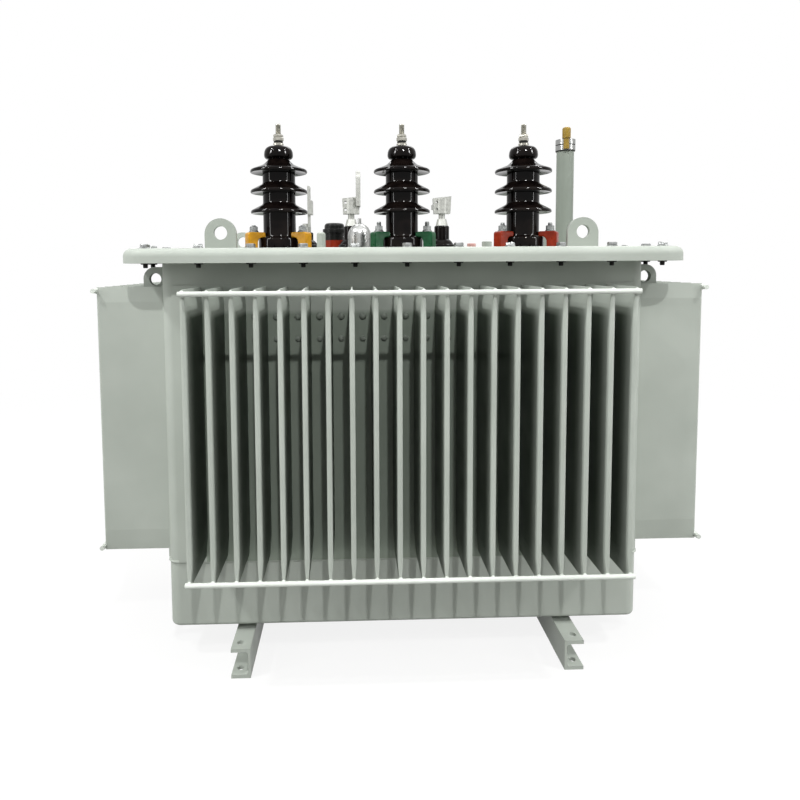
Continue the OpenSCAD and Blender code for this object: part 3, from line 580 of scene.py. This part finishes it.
# %% Bolt the cover down
BOLT_D = 10 * MM
BOLT_HEX = 17 * MM
BOLT_EDGE = 26 * MM
BOLT_PITCH = 104.6 * MM
BOLTS_LONG = 11
BOLTS_SHORT = 5
HEAD_H = 6.4 * MM
NUT_H = 8.5 * MM
WASHER_D = 21 * MM
WASHER_T = 2 * MM
BOLT_END = 7 * MM
SPANNER_STEP = math.radians(37)
THREAD_PITCH = 1.75 * MM
THREAD_ROOT = 0.88
THREAD_TIP = 0.8


def washer(mesh, diameter, thickness, place, base=0.0):
    top = base + thickness
    rim = diameter / 2
    edge = 0.2 * thickness
    spin(mesh, [(0, base), (rim - edge, base), (rim, base + edge),
                (rim, top - edge), (rim - edge, top), (0, top)], place)


def threaded_end(mesh, diameter, length, place, base=0.0):
    crest = diameter / 2
    root = THREAD_ROOT * crest
    outline = [(0, base)]
    level = base
    while level + THREAD_PITCH < base + length - THREAD_PITCH / 2:
        outline += [(root, level), (crest, level + THREAD_PITCH / 2)]
        level += THREAD_PITCH
    outline += [(root, level), (THREAD_TIP * crest, base + length), (0, base + length)]
    spin(mesh, outline, place, 20)


cover_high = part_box("cover")[1]
rim_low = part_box("tank_rim")[0]
bolt_x = cover_high.x - BOLT_EDGE
bolt_y = cover_high.y - BOLT_EDGE
along_x = [(k - (BOLTS_LONG - 1) / 2) * BOLT_PITCH for k in range(BOLTS_LONG)]
along_y = [(k - (BOLTS_SHORT - 1) / 2) * BOLT_PITCH for k in range(BOLTS_SHORT)]
spots = [(x, side * bolt_y) for side in (-1, 1) for x in along_x]
spots += [(side * bolt_x, y) for side in (-1, 1) for y in along_y]
bolts = bmesh.new()
rim_nuts = bmesh.new()
for number, (x, y) in enumerate(spots):
    turn = Matrix.Rotation(SPANNER_STEP * number, 4, "Z")
    top = Matrix.Translation((x, y, cover_high.z)) @ turn
    under = Matrix.Translation((x, y, rim_low.z)) @ turn @ Matrix.Rotation(math.pi, 4, "X")
    washer(bolts, WASHER_D, WASHER_T, top)
    hexagon(bolts, BOLT_HEX, HEAD_H, top, WASHER_T)
    washer(rim_nuts, WASHER_D, WASHER_T, under)
    hexagon(rim_nuts, BOLT_HEX, NUT_H, under, WASHER_T)
    threaded_end(rim_nuts, BOLT_D, BOLT_END, under, WASHER_T + NUT_H)
finish_piece("cover_bolts", bolts, zinc_plate)
finish_piece("rim_nuts", rim_nuts, dark_rim_steel)

# %% [markdown]
# ## Claw nuts
# A stud rises through each claw, with a flanged nut that presses the claw down on the porcelain foot.
# The claws stand 120 degrees apart, two towards us and one behind, so the nuts follow the same turns.

# %% Put the nuts on the claws
CLAW_BOLT_R = 60.5 * MM
CLAW_TURNS = (90, 210, 330)
FLANGE_D = 21 * MM
FLANGE_H = 4 * MM
CLAW_HEX = 16 * MM
CLAW_NUT_H = 10 * MM
CLAW_STUD_D = 10 * MM
CLAW_STUD_H = {"a": 2.5 * MM, "b": 9 * MM, "c": 6 * MM}
NUT_SEAT = 0.6 * FLANGE_H
claw_nuts = bmesh.new()
for phase in "abc":
    axis = middle("hv_porcelain_" + phase)
    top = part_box("hv_claws_" + phase)[1].z
    for turn in CLAW_TURNS:
        angle = math.radians(turn)
        place = Matrix.Translation((axis.x + CLAW_BOLT_R * math.cos(angle),
                                    axis.y + CLAW_BOLT_R * math.sin(angle), top))
        place = place @ Matrix.Rotation(angle, 4, "Z")
        spin(claw_nuts, [(0, 0), (FLANGE_D / 2, 0), (FLANGE_D / 2, 0.3 * FLANGE_H),
                         (CLAW_HEX / 2, FLANGE_H), (0, FLANGE_H)], place)
        hexagon(claw_nuts, CLAW_HEX, CLAW_NUT_H, place, NUT_SEAT)
        threaded_end(claw_nuts, CLAW_STUD_D, CLAW_STUD_H[phase], place, NUT_SEAT + CLAW_NUT_H)
finish_piece("claw_nuts", claw_nuts, dull_zinc)

# %% [markdown]
# ## High-voltage bushings
# A potter turns each bushing as one piece, and the glaze rounds off every corner: a foot, three sheds
# with a thick lip, a bell above the topmost shed and a bulging head. The frame has the plain turned
# form. Here the same form is spun again from its corners, with the frame's diameters and heights. Each
# corner names how far from it the bend starts, so that the lamps draw thin lines on lips and hollows.

# %% Turn the bushings
FOOT_R = 46 * MM
FOOT_H = 25 * MM
BODY_R = 35.5 * MM
LIP_R = 62 * MM
LIP_HALF = 3.5 * MM
SHED_HOLLOW = 2 * MM
SHED_RISE = 17.5 * MM
SHED_PLACES = (80.5 * MM, 124.5 * MM, 168.5 * MM)
HEAD_R = 31.5 * MM
HEAD_Z = 195.5 * MM
HEAD_TOP = 224 * MM
BUSHING_SIDES = 72
BELL = [(34 * MM, 183 * MM, 8 * MM), (21.8 * MM, HEAD_Z - 0.2 * MM, 1.5 * MM)]


def bend_corners(corners, parts=6):
    outline = [corners[0][:2]]
    for before, (radius, height, cut), after in zip(corners, corners[1:], corners[2:]):
        corner = Vector((radius, height))
        start = corner + (Vector(before[:2]) - corner).normalized() * cut
        end = corner + (Vector(after[:2]) - corner).normalized() * cut
        shares = [k / parts for k in range(parts + 1)]
        outline += [start.lerp(corner, t).lerp(corner.lerp(end, t), t) for t in shares]
    return outline + [corners[-1][:2]]


corners = [(0, 0, 0), (FOOT_R, 0, 1 * MM), (FOOT_R, FOOT_H, 5 * MM), (BODY_R, FOOT_H, 6 * MM)]
for lip in SHED_PLACES:
    corners += [(BODY_R, lip + SHED_HOLLOW, 4 * MM)]
    corners += [(LIP_R, lip - LIP_HALF, 3.3 * MM), (LIP_R, lip + LIP_HALF, 3.6 * MM)]
    corners += BELL if lip == SHED_PLACES[-1] else [(BODY_R, lip + SHED_RISE, 5 * MM)]
corners += [(HEAD_R, HEAD_Z, 9 * MM), (HEAD_R, HEAD_TOP, 19 * MM), (0, HEAD_TOP, 0)]
for phase in "abc":
    bushing = bmesh.new()
    foot = middle("hv_porcelain_" + phase)
    foot.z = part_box("hv_porcelain_" + phase)[0].z
    spin(bushing, bend_corners(corners), Matrix.Translation(foot), BUSHING_SIDES)
    piece = finish_piece("glazed_bushing_" + phase, bushing, brown_glaze)
    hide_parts("hv_porcelain_" + phase)

# %% [markdown]
# ## Cast claws
# Each claw is a sand casting: an arm that presses on the porcelain foot, an outer leg, and a hollow
# swept between them so that the metal fills the mould. The frame's claws have the same studs, tips
# and tops. In the photograph the leg stands further out than theirs and the hollow is wider, so the
# side view is drawn again with rounded corners and given its width. A bevel breaks the cut edges.

# %% Cast the claws
CLAW_W = 22 * MM
CLAW_TIP = 37 * MM
CLAW_OUT = 77 * MM
CLAW_TOP = 36 * MM
LEG_IN = 55 * MM
CLAW_EDGE = 2 * MM
CLAW_COLOURS = {"a": "yellow", "b": "green", "c": "red"}
side_view = bend_corners([
    (LEG_IN, 0, 0), (LEG_IN, FOOT_H, 13 * MM), (CLAW_TIP, FOOT_H, 3 * MM),
    (CLAW_TIP, CLAW_TOP, 4 * MM), (CLAW_OUT, CLAW_TOP, 7 * MM), (CLAW_OUT, 0, 0)])
for phase, colour in CLAW_COLOURS.items():
    claws = bmesh.new()
    foot = middle("hv_porcelain_" + phase)
    foot.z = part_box("hv_claws_" + phase)[0].z
    for turn in CLAW_TURNS:
        place = Matrix.Translation(foot) @ Matrix.Rotation(math.radians(turn), 4, "Z")
        rims = []
        for y in (-CLAW_W / 2, CLAW_W / 2):
            rims.append([claws.verts.new(place @ Vector((radius, y, height)))
                         for radius, height in side_view])
            claws.faces.new(rims[-1])
        left, right = rims
        for k in range(len(side_view)):
            claws.faces.new([left[k - 1], left[k], right[k], right[k - 1]])
    piece = finish_piece("cast_claws_" + phase, claws, FINISHES[colour])
    break_edges(piece, CLAW_EDGE)
    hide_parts("hv_claws_" + phase)

# %% [markdown]
# ## High-voltage terminals
# A tinned brass stud comes out of each porcelain head through a washer and a rubber ring, with two
# nuts and a bare threaded end for the line's lug. The frame has the plain stud; a threaded one stands
# for it here, in the same place and of the same size.

# %% Turn the threaded terminals
STUD_D = 12 * MM
STUD_NUT = (20 * MM, 8.7 * MM)
LOCK_NUT = (19.4 * MM, 5.8 * MM)
LOCK_TURN = 0.3
COLLAR_D = 23 * MM
COLLAR_H = 6.5 * MM
SEAL_D = 20 * MM
SEAL_T = 4 * MM
seals = bmesh.new()
for phase in "abc":
    low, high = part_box("hv_terminal_" + phase)
    stud = bmesh.new()
    spot = middle("hv_terminal_" + phase)
    place = Matrix.Translation((spot.x, spot.y, low.z))
    washer(stud, COLLAR_D, COLLAR_H, place)
    level = COLLAR_H
    washer(seals, SEAL_D, SEAL_T, place, level)
    level += SEAL_T
    hexagon(stud, *STUD_NUT, place, level)
    level += STUD_NUT[1]
    hexagon(stud, *LOCK_NUT, place @ Matrix.Rotation(LOCK_TURN, 4, "Z"), level)
    level += LOCK_NUT[1]
    threaded_end(stud, STUD_D, high.z - low.z - level, place, level)
    piece = finish_piece("threaded_terminal_" + phase, stud, turned_brass)
    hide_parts("hv_terminal_" + phase)
finish_piece("terminal_seals", seals, nitrile)

# %% [markdown]
# ## Weld beads
# The tank is closed by a welded seam between its lower tray and the corrugated walls. A bead is a row
# of small overlapping pools, so it is a thin tube along the seam whose radius swells and shrinks
# every few millimetres. Like beads run under the tank along the channels.

# %% Lay the beads
BEAD_R = 3.2 * MM
BEAD_SWELL = 0.16
POOL_STEP = 4.5 * MM
SEAM_CORNER = 24 * MM
CHANNEL_BEAD = (0.55, 0.98)


def lay_bead(mesh, points, radius, closed, sides=6):
    count = len(points)
    rings = []
    for k, point in enumerate(points):
        after = points[(k + 1) % count] if closed or k + 1 < count else point
        before = points[k - 1] if closed or k > 0 else point
        along = (after - before).normalized()
        across = along.cross(Vector((0.0, 0.0, 1.0))).normalized()
        upward = across.cross(along)
        swell = radius * (1.0 + BEAD_SWELL * (-1) ** k)
        rings.append([mesh.verts.new(point + swell * (math.cos(t) * across + math.sin(t) * upward))
                      for t in [2 * math.pi * j / sides for j in range(sides)]])
    for k in range(count if closed else count - 1):
        low = rings[k]
        high = rings[(k + 1) % count]
        for j in range(sides):
            mesh.faces.new([low[j], low[(j + 1) % sides], high[(j + 1) % sides], high[j]])
    if not closed:
        mesh.faces.new(rings[0])
        mesh.faces.new(list(reversed(rings[-1])))


def stretch(start, end, step):
    parts = max(2, int((end - start).length / step))
    return [start.lerp(end, k / parts) for k in range(parts + 1)]


def round_seam(half_x, half_y, corner, height, step):
    points = []
    for turn, (sx, sy) in enumerate(((1, 1), (-1, 1), (-1, -1), (1, -1))):
        centre = Vector((sx * (half_x - corner), sy * (half_y - corner), height))
        parts = max(3, int(corner * math.pi / 2 / step))
        for k in range(parts + 1):
            angle = math.pi / 2 * (turn + k / parts)
            points.append(centre + corner * Vector((math.cos(angle), math.sin(angle), 0.0)))
    filled = []
    for k, point in enumerate(points):
        filled.append(point)
        after = points[(k + 1) % len(points)]
        if (after - point).length > 2 * step:
            filled += stretch(point, after, step)[1:-1]
    return filled


tank_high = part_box("tank_body")[1]
plate_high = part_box("floor_plate")[1]
seam_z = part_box("front_fin_wall")[0].z - 0.4 * BEAD_R
beads = bmesh.new()
lay_bead(beads, round_seam(tank_high.x, tank_high.y, SEAM_CORNER, seam_z, POOL_STEP), BEAD_R, True)
for name in ("left_channel", "right_channel"):
    low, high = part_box(name)
    for x in (low.x, high.x):
        for side in (-1, 1):
            start, end = [Vector((x, side * plate_high.y * share, high.z + 0.3 * BEAD_R))
                          for share in CHANNEL_BEAD]
            lay_bead(beads, stretch(start, end, POOL_STEP), BEAD_R, False)
finish_piece("weld_beads", beads, grey_enamel, SOFT_LIMIT)

# %% [markdown]
# ## Painted shade in the collar's grooves
# Two dark rings lie in the grooves of the filler's collar, just below its polished surface. They are
# painted shade: dark bands that stand for the shade in the grooves, and they wear the black rubber
# finish.

# %% Lay the rings of painted groove shade
SHADE_RING_T = 2.1 * MM
SHADE_RING_EDGE = 0.3 * SHADE_RING_T
SHADE_RING_DEEP = 0.6 * MM
SHADE_RING_PLACES = (0.2 * MM, 16.7 * MM)
collar_low, collar_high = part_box("filler_collar")
shade_ring_r = (collar_high.x - collar_low.x) / 2 - SHADE_RING_DEEP
shade_ring_outline = [(shade_ring_r - SHADE_RING_T, 0), (shade_ring_r - SHADE_RING_EDGE, 0), (shade_ring_r, SHADE_RING_EDGE),
                (shade_ring_r, SHADE_RING_T - SHADE_RING_EDGE), (shade_ring_r - SHADE_RING_EDGE, SHADE_RING_T), (shade_ring_r - SHADE_RING_T, SHADE_RING_T)]
rings = bmesh.new()
spot = middle("filler_collar")
for height in SHADE_RING_PLACES:
    spin(rings, shade_ring_outline, Matrix.Translation((spot.x, spot.y, collar_low.z + height)), 48)
# the rings of painted groove shade wear the black rubber finish
finish_piece("collar_rings", rings, nitrile)

# %% [markdown]
# ## Dimples in the wall
# In every gap between the fins two shallow domes show high on the wall sheet, one above the other.
# They are pressed out of the sheet, so each is a low cap with a soft rim. The rear wall is like the
# front one.

# %% Press the dimples
FIN_PITCH = 45 * MM
SHEET_T = 4 * MM
DIMPLES = ((742 * MM, 8 * MM, 4.5 * MM), (695 * MM, 7 * MM, 3.5 * MM))
DOME = ((0.86, 0.35), (0.6, 0.78), (0.3, 0.96), (0.0, 1.0))
SUNK = 0.6 * MM
dimples = bmesh.new()
rod_low, rod_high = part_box("front_rods")
gaps = round((rod_high.x - rod_low.x - FIN_PITCH / 2) / FIN_PITCH)
sheet_y = tank_high.y + SHEET_T
for side in (-1, 1):
    for k in range(gaps):
        for height, radius, rise in DIMPLES:
            outline = [(radius, -SUNK)] + [(r * radius, h * rise) for r, h in DOME]
            place = Matrix.Translation(((k - (gaps - 1) / 2) * FIN_PITCH, side * sheet_y, height))
            spin(dimples, outline, place @ Matrix.Rotation(-side * math.pi / 2, 4, "X"), 16)
# painted shade: the dimples wear the darker copy of the enamel, like the shaded wall around them
finish_piece("wall_dimples", dimples, shade_painted_enamel, SOFT_LIMIT)

# %% [markdown]
# ## Tacks on the stay rods
# Two rods tie the fin edges on every side, and each crossing is tacked with a drop of weld above and
# below the rod. A drop is a small low cap that leans out from the corner between rod and fin.

# %% Tack the rods
ROD_R = 5 * MM
TACK_BACK = 1.4 * ROD_R
TACK_ASIDE = 0.8 * ROD_R
TACK_LEAN = 0.5
TACK = [(4.4 * MM, -2.5 * MM), (4.0 * MM, 0.4 * MM), (2.6 * MM, 1.7 * MM), (1.2 * MM, 2.2 * MM),
        (0, 2.3 * MM)]
OUTWARD = {"front": (0, -1, 0), "rear": (0, 1, 0), "left": (-1, 0, 0), "right": (1, 0, 0)}
tacks = bmesh.new()
for name, direction in OUTWARD.items():
    outward = Vector(direction)
    low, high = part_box(name + "_rods")
    along = Vector((abs(outward.y), abs(outward.x), 0))
    count = round(((high - low).dot(along) - FIN_PITCH / 2) / FIN_PITCH) + 1
    reach = max(abs(low.dot(outward)), abs(high.dot(outward))) - TACK_BACK
    for k in range(count):
        crossing = along * ((k - (count - 1) / 2) * FIN_PITCH) + outward * reach
        for level in (low.z + ROD_R, high.z - ROD_R):
            for up in (-1, 1):
                spot = crossing + Vector((0, 0, level + up * TACK_ASIDE))
                aim = (outward * TACK_LEAN + Vector((0, 0, up))).to_track_quat("Z", "Y")
                spin(tacks, TACK, Matrix.Translation(spot) @ aim.to_matrix().to_4x4(), 10)
    print(name, "rods tacked at", count, "fins")
# painted light: the tacks wear the rods' paler copy of the enamel
finish_piece("rod_tacks", tacks, rod_enamel_painted_light, SOFT_LIMIT)

# %% [markdown]
# ## The studio
# The photograph is a cut-out on white. Here a pale floor keeps the object's shadow, and for the
# camera most of its light is a plain white glow, so that it meets the white world without an edge.
# Glossy and clear surfaces see the same white as the camera does. The light that the floor throws
# back up at the object is that of a grey workshop floor, or the shaded undersides would turn pale.

# %% Lay the floor and light the world
FLOOR_HALF = 14.0
FLOOR_GLOW = 0.86
SHADOW_REACH = 1.2
WHITE_REACH = 3.5
WORLD_LIGHT = 0.36
FLOOR_PAINT = "#f4f4f2"
WORKSHOP_GREY = "#989896"


def seen_directly(tree):
    rays = add_node(tree, "ShaderNodeLightPath").outputs
    seen = rays["Is Camera Ray"]
    for other in ("Is Glossy Ray", "Is Transmission Ray"):
        either = {0: seen, 1: rays[other]}
        seen = add_node(tree, "ShaderNodeMath", either, operation="MAXIMUM").outputs[0]
    return seen


floor_mesh = bmesh.new()
floor_mesh.faces.new([floor_mesh.verts.new((x * FLOOR_HALF, y * FLOOR_HALF, cad_low.z))
                      for x, y in ((-1, -1), (1, -1), (1, 1), (-1, 1))])
floor_data = bpy.data.meshes.new("floor")
floor_mesh.to_mesh(floor_data)
floor_mesh.free()
floor = bpy.data.objects.new("floor", floor_data)
bpy.context.scene.collection.objects.link(floor)
floor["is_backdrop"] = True
floor_paint = bpy.data.materials.new("pale_studio_floor")
floor_paint.use_nodes = True
tree = floor_paint.node_tree
tree.nodes.clear()
pale = add_node(tree, "ShaderNodeBsdfDiffuse", {"Color": linear(FLOOR_PAINT)})
glow = add_node(tree, "ShaderNodeEmission", {"Color": linear("#ffffff"), "Strength": 1.0})
spot = add_node(tree, "ShaderNodeTexCoord").outputs["Object"]
away = add_node(tree, "ShaderNodeVectorMath", {0: spot}, operation="LENGTH").outputs["Value"]
reaches = {"From Min": SHADOW_REACH, "From Max": WHITE_REACH, "To Min": FLOOR_GLOW, "To Max": 1.0}
share = add_node(tree, "ShaderNodeMapRange", {"Value": away, **reaches}).outputs["Result"]
shown = add_node(tree, "ShaderNodeMixShader", {0: share, 1: pale.outputs[0], 2: glow.outputs[0]})
bounce = add_node(tree, "ShaderNodeBsdfDiffuse", {"Color": linear(WORKSHOP_GREY)})
seen = seen_directly(tree)
both = add_node(tree, "ShaderNodeMixShader", {0: seen, 1: bounce.outputs[0], 2: shown.outputs[0]})
add_node(tree, "ShaderNodeOutputMaterial", {"Surface": both.outputs[0]})
floor_data.materials.append(floor_paint)

world = bpy.data.worlds.new("studio")
world.use_nodes = True
bpy.context.scene.world = world
tree = world.node_tree
tree.nodes.clear()
seen = seen_directly(tree)
level = add_node(tree, "ShaderNodeMapRange", {"Value": seen, "To Min": WORLD_LIGHT, "To Max": 1.0})
sky = add_node(tree, "ShaderNodeBackground",
               {"Color": linear("#ffffff"), "Strength": level.outputs["Result"]})
add_node(tree, "ShaderNodeOutputWorld", {"Surface": sky.outputs[0]})
bpy.context.scene.view_settings.view_transform = "Standard"
print("floor at", round(cad_low.z, 4), "world light", WORLD_LIGHT)

# %% [markdown]
# ## The lamps
# Shadows in the photograph tell where its lamps hung. The stay rod throws a stripe on the wall about
# as far below itself as the fins are deep, so one small lamp stands in front at some 45 degrees.
# Slanted shadows on the lower tray lean to the right, so a second stands further to the left. Two
# high lamps at the sides light each fin just below the cover, where its neighbour leaves it free.
# Two upright strips brighten the fin fronts, and wide lamps in front, above and behind fill in. A
# row below gives a lamp's bearing and height in degrees, its distance and width in metres and its
# watts. A sixth number is its other side in metres, for a lamp that is oblong and not round.

# %% Hang the lamps
AIM = Vector((0.0, 0.0, 0.45))
LAMPS = {
    "front_lamp": (4, 44, 5.0, 0.12, 80),
    "left_lamp": (-40, 37, 5.0, 0.2, 21),
    "left_high_lamp": (-65, 50, 5.0, 0.3, 106),
    "right_high_lamp": (65, 50, 5.0, 0.3, 106),
    "broad_lamp": (0, 60, 3.8, 5.0, 16, 1.8),
    "ceiling_lamp": (0, 88, 5.0, 3.0, 16),
    "left_strip": (-64, 18, 4.0, 0.14, 31, 1.8),
    "right_strip": (62, 18, 4.0, 0.14, 31, 1.8),
    "rear_lamp": (170, 50, 5.0, 4.0, 90, 1.8),
}


def hang_lamp(name, bearing, height, distance, width, watts, other_side=None):
    a = math.radians(bearing)
    e = math.radians(height)
    away = Vector((math.sin(a) * math.cos(e), -math.cos(a) * math.cos(e), math.sin(e)))
    data = bpy.data.lights.new(name, "AREA")
    data.shape = "RECTANGLE" if other_side else "DISK"
    data.size = width
    if other_side:
        data.size_y = other_side
    data.energy = watts
    lamp = bpy.data.objects.new(name, data)
    bpy.context.scene.collection.objects.link(lamp)
    lamp.location = AIM + away * distance
    lamp.rotation_euler = (-away).to_track_quat("-Z", "Y").to_euler()
    return lamp


for name, row in LAMPS.items():
    hang_lamp(name, *row)
print("hung", len(bpy.data.lights), "lamps")

# %% [markdown]
# ## Gleams on the glaze
# Black glaze shows little but the lights that it mirrors. On forms this small a lamp's mirror image is
# narrower than a pixel, so the gleams would be lost. A stronger lamp would spoil the paint beside them.
# Photographers narrow a lamp onto one piece with a tube. Light linking does the same: a lamp that
# has a receiver collection lights nothing outside it.

# %% Add the gleams
GLEAMS = {
    "left_gleam": (-58, 30, 4.0, 0.5, 110, 0.9),
    "right_gleam": (58, 30, 4.0, 0.5, 110, 0.9),
    "front_gleam": (10, 38, 4.0, 0.5, 190, 0.4),
}
glazed_pieces = bpy.data.collections.new("glazed_pieces")
for piece in bpy.data.objects:
    if piece.type == "MESH" and brown_glaze in list(piece.data.materials):
        glazed_pieces.objects.link(piece)
for name, row in GLEAMS.items():
    hang_lamp(name, *row).light_linking.receiver_collection = glazed_pieces

# %% [markdown]
# ## Measure
# The dressed model's box is printed here; the frame's box was printed when it was loaded. The
# dressed model may stand only a little proud of the frame.

# %% Measure the dressed model
low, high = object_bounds()
print("visual box", [round(b - a, 3) for a, b in zip(low, high)])
